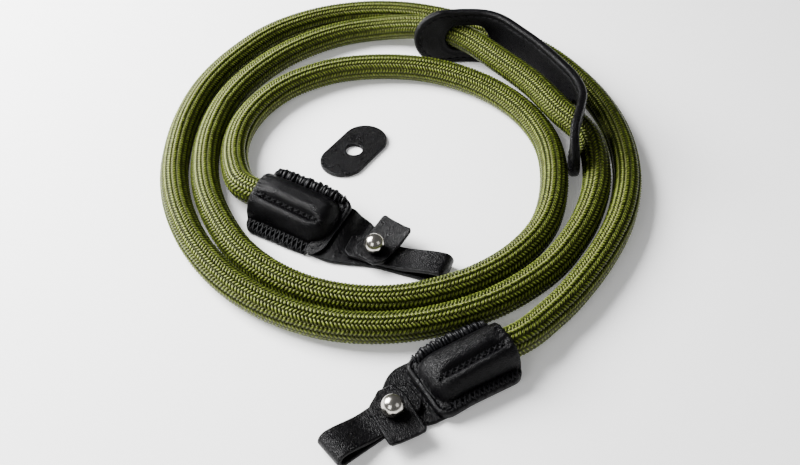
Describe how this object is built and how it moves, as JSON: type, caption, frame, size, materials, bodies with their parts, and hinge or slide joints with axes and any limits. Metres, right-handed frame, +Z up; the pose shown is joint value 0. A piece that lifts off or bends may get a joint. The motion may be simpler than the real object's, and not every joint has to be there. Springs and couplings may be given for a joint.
{
  "type": "camera strap",
  "caption": "Coiled camera strap of round braided rope with a slotted leather shoulder pad, sewn leather end covers, folded camera loops with ball studs, and a loose leather lug guard.",
  "frame": {"origin": "middle of the footprint, on the table that the coil lies on", "axes": "+Z up from the table, +Y away from the viewer towards the shoulder pad's side of the coil, +X to the right"},
  "size_m": [0.1704, 0.2242, 0.0241],
  "materials": {
    "olive_braid": "braided nylon with a soft sheen",
    "black_leather": "semi-matt",
    "nickel": "polished"
  },
  "bodies": {
    "root": {"rope": "olive_braid", "shoulder_pad": "black_leather", "end_cover_1": "black_leather", "end_cover_2": "black_leather", "loop_strap_1": "black_leather", "loop_strap_2": "black_leather", "keeper_tab_1": "black_leather", "keeper_tab_2": "black_leather", "ball_stud_1": "nickel", "ball_stud_2": "nickel", "lug_guard": "black_leather"}
  },
  "joints": []
}
